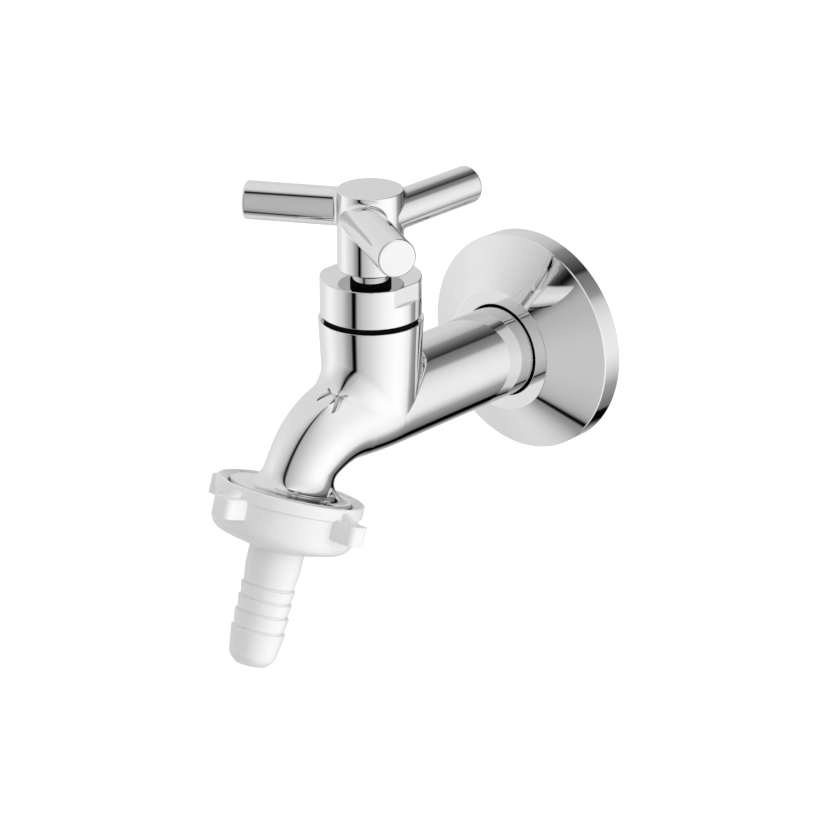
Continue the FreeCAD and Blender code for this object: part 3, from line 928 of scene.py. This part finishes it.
@dataclass
class HoseUnion:
    """The white plastic nut with its four lugs, and the barbed tail that it holds."""

    band_r: float = 20.35
    nut_r: float = 19.7
    nut_depth: float = 16.0
    mouth_r: float = 17.2
    thread: Thread = Thread(18.0, 1.28, 2.309)
    thread_low: float = 1.5
    thread_high: float = 9.6
    well_r: float = 14.55
    well_depth: float = 12.8
    hole_r: float = 7.9
    lug_foot: float = 17.9
    lug_reach: float = 26.95
    lug_width: float = 6.3
    lug_from: float = 2.9
    lug_to: float = 8.4
    lug_round: float = 1.7
    rib_thick: float = 1.7
    collar_r: float = 14.0
    collar_low: float = 10.6
    collar_high: float = 12.75
    neck_r: float = 7.56
    ledges: tuple[float, ...] = (27.1, 30.8, 34.65, 39.2)
    crest_r: float = 7.5
    root_r: float = 7.0
    undercut: float = 0.6
    tail_bore_r: float = 3.8
    tail_end: float = 48.95

    def build(self, palette: Palette) -> None:
        """Makes the nut and the tail.

        Args:
            palette: the materials.
        """
        self.nut().piece("union_nut_moulding", Body.NUT, Slot.WHITE, palette, "union_nut")
        self.tail().piece("barbed_tail", Body.TAIL, Slot.WHITE, palette, "hose_tail")

    def nut(self) -> Shell:
        """Makes the nut with its thread, its lugs and the ribs over them.

        Returns:
            The nut.
        """
        nut = Shell()
        nut.turned(OUTLET, [
            (self.mouth_r, 1.0, 0.15), (self.band_r, -0.3, 0.45), (self.band_r, 3.3, 0.25),
            (self.nut_r, 3.7, 0.25), (19.5, 13.2, 4.0), (9.6, self.nut_depth, 0.6),
            (self.hole_r, self.nut_depth, 0.3), (self.hole_r, self.well_depth, 0.2),
            (self.well_r, self.well_depth), (self.well_r, self.thread_high),
            (self.thread.radius, self.thread_high), (self.thread.radius, self.thread_low + 0.1),
            (self.mouth_r, self.thread_low)], segments=256)
        nut.threaded(OUTLET, self.thread, self.thread_low, self.thread_high, outside=False)
        half_lug, half_rib = self.lug_width / 2, self.rib_thick / 2
        lug = [
            (self.lug_foot, -half_lug), (self.lug_reach, -half_lug, self.lug_round),
            (self.lug_reach, half_lug, self.lug_round), (self.lug_foot, half_lug)]
        rib = [(18.9, -0.02, 0.1), (20.1, 0.62, 0.2), (24.6, 2.9, 0.1), (24.2, 3.3), (18.9, 3.3)]
        upright = np.array([[1.0, 0, 0], [0, 0, 1.0], [0, -1.0, 0]]).T
        for i in range(4):
            turn = OUTLET.turn @ np.array(Matrix.Rotation(math.pi / 2 * i, 3, "Z"))
            nut.prism(Axis(turn, OUTLET.shift), lug, self.lug_from, self.lug_to, 0.25)
            nut.prism(Axis(turn @ upright, OUTLET.shift), rib, -half_rib, half_rib, 0.18)
        return nut

    def tail(self) -> Shell:
        """Makes the tail with its collar, its barbs and its bore.

        Returns:
            The tail.
        """
        tail = Shell()
        profile: Corners = [
            (self.tail_bore_r, self.collar_low, 0.5), (self.collar_r, self.collar_low, 0.2),
            (self.collar_r, self.collar_high), (self.neck_r, self.collar_high, 0.05),
            (self.neck_r, 22.2, 8.0)]
        foot = self.root_r - self.undercut
        for ledge in self.ledges:
            profile += [
                (self.root_r, ledge - 0.8), (foot, ledge - 0.4, 0.05), (foot, ledge),
                (self.crest_r, ledge, 0.03)]
        profile += [
            (6.4, self.tail_end - 2.0, 3.3), (4.3, self.tail_end - 0.05, 0.4),
            (self.tail_bore_r, self.tail_end)]
        tail.turned(OUTLET, profile, segments=256)
        return tail


@dataclass
class InnerParts:
    """The solids inside, which keep the shape of the source and are only dressed."""

    dressed: tuple[tuple[Slot, tuple[str, ...]], ...] = (
        (Slot.BRASS, ("headwork_body", "spindle", "valve_carrier", "seat_washer_screw")),
        (Slot.RUBBER, ("flange_o_ring", "spindle_o_rings", "seat_washer", "hose_washer")),
        (Slot.STEEL, ("spindle_clip", "handle_grub_screw")),
        (Slot.SLIP, ("thrust_washer",)))

    def build(self, palette: Palette) -> None:
        """Gives each solid its material.

        Args:
            palette: the materials.
        """
        for slot, nodes in self.dressed:
            for node in nodes:
                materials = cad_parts[node].data.materials
                materials.clear()
                materials.append(palette[slot])
                log.info("%s: dressed in %s", node, slot.value)


class Nodes:
    """A short way to place and join shader nodes in one tree."""

    def __init__(self, tree: bpy.types.NodeTree) -> None:
        """Starts on an emptied tree."""
        self.tree = tree
        tree.nodes.clear()

    def add(self, kind: str, **values: object) -> bpy.types.Node:
        """Adds a node.

        Args:
            kind: the node's type, without its ShaderNode prefix.
            values: its properties, or its sockets by name with spaces as underscores.

        Returns:
            The node.
        """
        node = self.tree.nodes.new(kind if kind.startswith("Node") else "ShaderNode" + kind)
        for key, value in values.items():
            socket = node.inputs.get(key.replace("_", " "))
            if hasattr(node, key):
                setattr(node, key, value)
            elif socket is not None:
                socket.default_value = value
            else:
                raise ValueError(f"{kind} has no {key}")
        return node

    def join(self, *links: tuple[Socket, Socket]) -> None:
        """Links sockets, in each pair from the first to the second."""
        for source, target in links:
            self.tree.links.new(source, target)


def fine_grain_group() -> bpy.types.NodeTree:
    """Builds the shared group for fine surface unevenness: a mask and a height, both soft noise.

    Returns:
        The group.
    """
    tree = bpy.data.node_groups.new("fine_grain", "ShaderNodeTree")
    nodes = Nodes(tree)
    for way, name in (("INPUT", "Scale"), ("INPUT", "Stretch"), ("OUTPUT", "Mask"), ("OUTPUT", "Height")):
        tree.interface.new_socket(name, in_out=way, socket_type="NodeSocketFloat")
    inputs, outputs = nodes.add("NodeGroupInput"), nodes.add("NodeGroupOutput")
    spot = nodes.add("TexCoord")
    pull = nodes.add("CombineXYZ", X=1.0, Y=1.0)
    stretch = nodes.add("VectorMath", operation="MULTIPLY")
    grain = nodes.add("TexNoise", Roughness=0.55, Detail=3.0)
    broad = nodes.add("TexNoise", Scale=60.0, Detail=2.0)
    mask = nodes.add("MapRange", From_Min=0.35, From_Max=0.68)
    nodes.join(
        (inputs.outputs["Stretch"], pull.inputs["Z"]),
        (spot.outputs["Object"], stretch.inputs[0]),
        (pull.outputs[0], stretch.inputs[1]),
        (stretch.outputs[0], grain.inputs["Vector"]),
        (inputs.outputs["Scale"], grain.inputs["Scale"]),
        (spot.outputs["Object"], broad.inputs["Vector"]),
        (broad.outputs["Fac"], mask.inputs["Value"]),
        (mask.outputs["Result"], outputs.inputs["Mask"]),
        (grain.outputs["Fac"], outputs.inputs["Height"]))
    return tree


@dataclass(frozen=True)
class Finish:
    """A finish: a colour pair mixed by soft patches, roughness between two values, and a fine bump."""

    name: str
    light: Triple
    dark: Triple
    smooth: float
    rough: float
    metallic: float
    bump: float
    bump_depth: float
    grain: float
    stretch: float = 1.0
    soft: float = 0.0
    ior: float = 1.5
    shine: float = 0.5
    edge_tint: float = 1.0

    def build(self, group: bpy.types.NodeTree) -> bpy.types.Material:
        """Makes the material.

        Args:
            group: the shared fine-grain group.

        Returns:
            The material.
        """
        material = bpy.data.materials.new(self.name)
        material.use_nodes = True
        nodes = Nodes(material.node_tree)
        out = nodes.add("OutputMaterial")
        tint = self.edge_tint
        shader = nodes.add(
            "BsdfPrincipled", Metallic=self.metallic, IOR=self.ior, Specular_IOR_Level=self.shine,
            Specular_Tint=(tint, tint, tint, 1))
        if self.soft:
            shader.inputs["Subsurface Weight"].default_value = self.soft
            shader.inputs["Subsurface Radius"].default_value = (1.0, 0.9, 0.8)
            shader.inputs["Subsurface Scale"].default_value = 0.6 * MM
        grain = nodes.add("Group", node_tree=group, Scale=self.grain, Stretch=self.stretch)
        colour = nodes.add("Mix", data_type="RGBA")
        colour.inputs[6].default_value = (*self.dark, 1)
        colour.inputs[7].default_value = (*self.light, 1)
        gloss = nodes.add("MapRange", To_Min=self.rough, To_Max=self.smooth)
        bump = nodes.add("Bump", Strength=self.bump, Distance=self.bump_depth * MM)
        nodes.join(
            (grain.outputs["Mask"], colour.inputs[0]),
            (grain.outputs["Mask"], gloss.inputs["Value"]),
            (grain.outputs["Height"], bump.inputs["Height"]),
            (colour.outputs[2], shader.inputs["Base Color"]),
            (gloss.outputs["Result"], shader.inputs["Roughness"]),
            (bump.outputs["Normal"], shader.inputs["Normal"]),
            (shader.outputs["BSDF"], out.inputs["Surface"]))
        material.diffuse_color = (*self.light, 1)
        return material


FINISHES = {
    Slot.CHROME: Finish(
        "polished_chrome", light=(0.775, 0.78, 0.775), dark=(0.765, 0.77, 0.765), smooth=0.02, rough=0.035,
        metallic=1.0, bump=0.01, bump_depth=0.004, grain=900.0, edge_tint=0.89),
    Slot.WHITE: Finish(
        "moulded_white_plastic", light=(0.93, 0.93, 0.925), dark=(0.915, 0.915, 0.91), smooth=0.36,
        rough=0.44, metallic=0.0, bump=0.15, bump_depth=0.01, grain=2600.0, soft=0.1, ior=1.46),
    Slot.BRASS: Finish(
        "turned_brass", light=(0.80, 0.62, 0.30), dark=(0.62, 0.45, 0.2), smooth=0.22, rough=0.34,
        metallic=1.0, bump=0.3, bump_depth=0.02, grain=1500.0, stretch=9.0),
    Slot.RUBBER: Finish(
        "black_rubber", light=(0.006, 0.006, 0.0065), dark=(0.003, 0.003, 0.0035), smooth=0.62, rough=0.78,
        metallic=0.0, bump=0.35, bump_depth=0.03, grain=1800.0, ior=1.3, shine=0.1),
    Slot.STEEL: Finish(
        "oiled_steel", light=(0.34, 0.34, 0.35), dark=(0.2, 0.2, 0.21), smooth=0.25, rough=0.38,
        metallic=1.0, bump=0.3, bump_depth=0.02, grain=1700.0),
    Slot.SLIP: Finish(
        "slip_ring_plastic", light=(0.82, 0.8, 0.72), dark=(0.75, 0.72, 0.63), smooth=0.35, rough=0.5,
        metallic=0.0, bump=0.2, bump_depth=0.02, grain=1200.0),
}


@dataclass
class Studio:
    """A pale studio of two soft side panels with a dark gap in front and one behind.

    The panels are written as (azimuth, grey) stops, as polished metal shows them: azimuth in degrees
    from the tap's front towards its right, grey from 0 to 255. The greys were sampled from the
    photograph's reflections and then adjusted. One row holds for steep downward directions,
    one for level and gently downward ones, and one for high ones.
    """

    eye: Triple = (0.61688, -0.73107, 0.38049)
    azimuth: float = 42.21
    elevation: float = 22.96
    lens: float = 156.52
    floor_z: float = -0.85
    floor_reach: float = 6.0
    mirror: float = 0.77
    lamp_power: float = 4.1
    lamp_size: float = 1.2
    lamp_place: Triple = (1.6, 0.1, 0.35)
    lamp_aim: Triple = (0.0, -0.1, 0.0)
    low_fade: tuple[float, float] = (-52, -30)
    high_fade: tuple[float, float] = (-12, 48)
    down: Stops = (
        (-180, 3), (-167, 3), (-163, 80), (-155, 150), (-140, 196), (-106, 211), (-95, 214), (-75, 217),
        (-59, 213), (-38, 201), (-20, 180), (-8, 150), (0.5, 132), (2.5, 10), (6, 10), (8, 140),
        (12, 170), (19, 186), (42, 205), (70, 232), (100, 246), (130, 236), (144, 183), (150, 154),
        (165, 123), (174, 108), (177, 3))
    low: Stops = (
        (-180, 3), (-168, 3), (-165, 60), (-158, 138), (-152, 163), (-140, 211), (-120, 217), (-84, 226),
        (-72, 237), (-60, 243), (-48, 232), (-36, 216), (-24, 202), (-15, 173), (-11, 157), (-3.5, 136),
        (-2, 125), (0.7, 6), (7, 4), (9, 85), (11.5, 152), (14, 174), (24, 193), (60, 230), (78, 244),
        (102, 253), (120, 250), (138, 231), (143, 203), (150, 155), (173, 109), (177, 3))
    high: Stops = (
        (-180, 92), (-171, 118), (-163.5, 137), (-160, 170), (-153, 192), (-140, 208), (-126, 216),
        (-90, 214), (-54, 215), (-36, 207), (-18, 192), (-9, 160), (-5, 105), (-2.5, 12), (2.5, 10),
        (5, 85), (8, 158), (12, 176), (24, 184), (42, 200), (66, 219), (90, 233), (114, 233), (132, 221),
        (142, 203), (144, 182), (146, 140), (151, 128), (162, 109), (165.5, 40), (180, 92))

    def build(self) -> None:
        """Makes the camera, the world, the floor and the lamp."""
        scene = bpy.context.scene
        scene.view_settings.view_transform = "Standard"
        camera = bpy.data.cameras.new("photo_camera")
        camera.sensor_width = 36.0
        camera.lens = self.lens
        camera.clip_end = 50.0
        holder = bpy.data.objects.new("photo_camera", camera)
        holder.location = self.eye
        holder.rotation_euler = (math.radians(90 - self.elevation), 0, math.radians(self.azimuth))
        scene.collection.objects.link(holder)
        scene.camera = holder
        self.world()
        self.floor()
        self.side()

    def ramp(self, nodes: Nodes, stops: Stops, turn: Socket) -> Socket:
        """Writes one row of stops as a colour ramp.

        Args:
            nodes: the tree it goes into.
            stops: the (azimuth, grey) pairs.
            turn: the azimuth, from 0 at the back round to 1.

        Returns:
            The ramp's colour.
        """
        node = nodes.add("ValToRGB")
        elements = node.color_ramp.elements
        while len(elements) < len(stops):
            elements.new(0.5)
        for element, (azimuth, grey) in zip(elements, stops):
            share = grey / 255
            level = share / 12.92 if share <= 0.04045 else ((share + 0.055) / 1.055) ** 2.4
            element.position = (azimuth + 180) / 360
            element.color = (level, level, level, 1)
        nodes.join((turn, node.inputs["Fac"]))
        return node.outputs["Color"]

    def fade(
        self, nodes: Nodes, height: Socket, between: tuple[float, float], low: Socket, high: Socket
    ) -> Socket:
        """Turns one row into another as the direction rises.

        Args:
            nodes: the tree it goes into.
            height: the direction's upward part.
            between: the elevations in degrees that it fades between.
            low: the row below.
            high: the row above.

        Returns:
            The mixed colour.
        """
        start, end = (math.sin(math.radians(degrees)) for degrees in between)
        rise = nodes.add("MapRange", interpolation_type="SMOOTHSTEP", From_Min=start, From_Max=end)
        mix = nodes.add("Mix", data_type="RGBA")
        nodes.join(
            (height, rise.inputs["Value"]), (rise.outputs["Result"], mix.inputs[0]), (low, mix.inputs[6]),
            (high, mix.inputs[7]))
        return mix.outputs[2]

    def world(self) -> None:
        """Paints the panels round the tap; the camera itself sees plain white."""
        world = bpy.data.worlds.new("pale_studio")
        bpy.context.scene.world = world
        world.use_nodes = True
        nodes = Nodes(world.node_tree)
        out = nodes.add("OutputWorld")
        spot = nodes.add("TexCoord")
        parts = nodes.add("SeparateXYZ")
        back = nodes.add("Math", operation="MULTIPLY")
        back.inputs[1].default_value = -1
        angle = nodes.add("Math", operation="ARCTAN2")
        turn = nodes.add("Math", operation="MULTIPLY_ADD")
        turn.inputs[1].default_value = 1 / FULL_TURN
        turn.inputs[2].default_value = 0.5
        nodes.join(
            (spot.outputs["Generated"], parts.inputs[0]),
            (parts.outputs["Y"], back.inputs[0]),
            (parts.outputs["X"], angle.inputs[0]),
            (back.outputs[0], angle.inputs[1]),
            (angle.outputs[0], turn.inputs[0]))
        rows = (self.down, self.low, self.high)
        below, level, above = (self.ramp(nodes, row, turn.outputs[0]) for row in rows)
        lower = self.fade(nodes, parts.outputs["Z"], self.low_fade, below, level)
        panels = self.fade(nodes, parts.outputs["Z"], self.high_fade, lower, above)
        studio = nodes.add("Background", Strength=1 / self.mirror)
        plain = nodes.add("Background", Strength=1.0, Color=(1, 1, 1, 1))
        path = nodes.add("LightPath")
        pick = nodes.add("MixShader")
        nodes.join(
            (panels, studio.inputs["Color"]),
            (path.outputs["Is Camera Ray"], pick.inputs[0]),
            (studio.outputs[0], pick.inputs[1]),
            (plain.outputs[0], pick.inputs[2]),
            (pick.outputs[0], out.inputs["Surface"]))

    def floor(self) -> None:
        """Adds a plain pale floor well below, which isn't mirrored in the metal and sends no light up."""
        mesh = bpy.data.meshes.new("studio_floor")
        reach = self.floor_reach
        corners = [(-reach, -reach, 0), (reach, -reach, 0), (reach, reach, 0), (-reach, reach, 0)]
        mesh.from_pydata(corners, [], [(0, 1, 2, 3)])
        floor = bpy.data.objects.new("studio_floor", mesh)
        floor.location = (0, 0, self.floor_z)
        floor.visible_glossy = False
        floor.visible_diffuse = False
        bpy.context.scene.collection.objects.link(floor)
        material = bpy.data.materials.new("floor_white")
        material.use_nodes = True
        nodes = Nodes(material.node_tree)
        out = nodes.add("OutputMaterial")
        shade = nodes.add(
            "BsdfPrincipled", Roughness=0.9, Base_Color=(0.85, 0.85, 0.85, 1), Specular_IOR_Level=0.0,
            Emission_Color=(0.5, 0.5, 0.5, 1))
        path = nodes.add("LightPath")
        nodes.join(
            (path.outputs["Is Camera Ray"], shade.inputs["Emission Strength"]),
            (shade.outputs[0], out.inputs["Surface"]))
        mesh.materials.append(material)

    def side(self) -> None:
        """Adds a broad soft lamp on the right, which models the plastic and isn't mirrored in the metal."""
        lamp = bpy.data.lights.new("side_lamp", "AREA")
        lamp.shape = "DISK"
        lamp.size = self.lamp_size
        lamp.energy = self.lamp_power
        holder = bpy.data.objects.new("side_lamp", lamp)
        holder.location = self.lamp_place
        aim = Vector(self.lamp_aim) - Vector(self.lamp_place)
        holder.rotation_euler = aim.to_track_quat("-Z", "Y").to_euler()
        holder.visible_glossy = False
        holder.visible_camera = False
        bpy.context.scene.collection.objects.link(holder)


def main() -> None:
    """Builds the tap and its studio."""
    logging.basicConfig(level=logging.INFO, format="%(name)s: %(message)s")
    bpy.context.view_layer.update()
    group = fine_grain_group()
    palette = {slot: finish.build(group) for slot, finish in FINISHES.items()}
    Studio().build()
    for part in (CastBody(), WallFlange(), Bonnet(), Handle(), HoseUnion(), InnerParts()):
        part.build(palette)


if __name__ == "__main__":
    main()
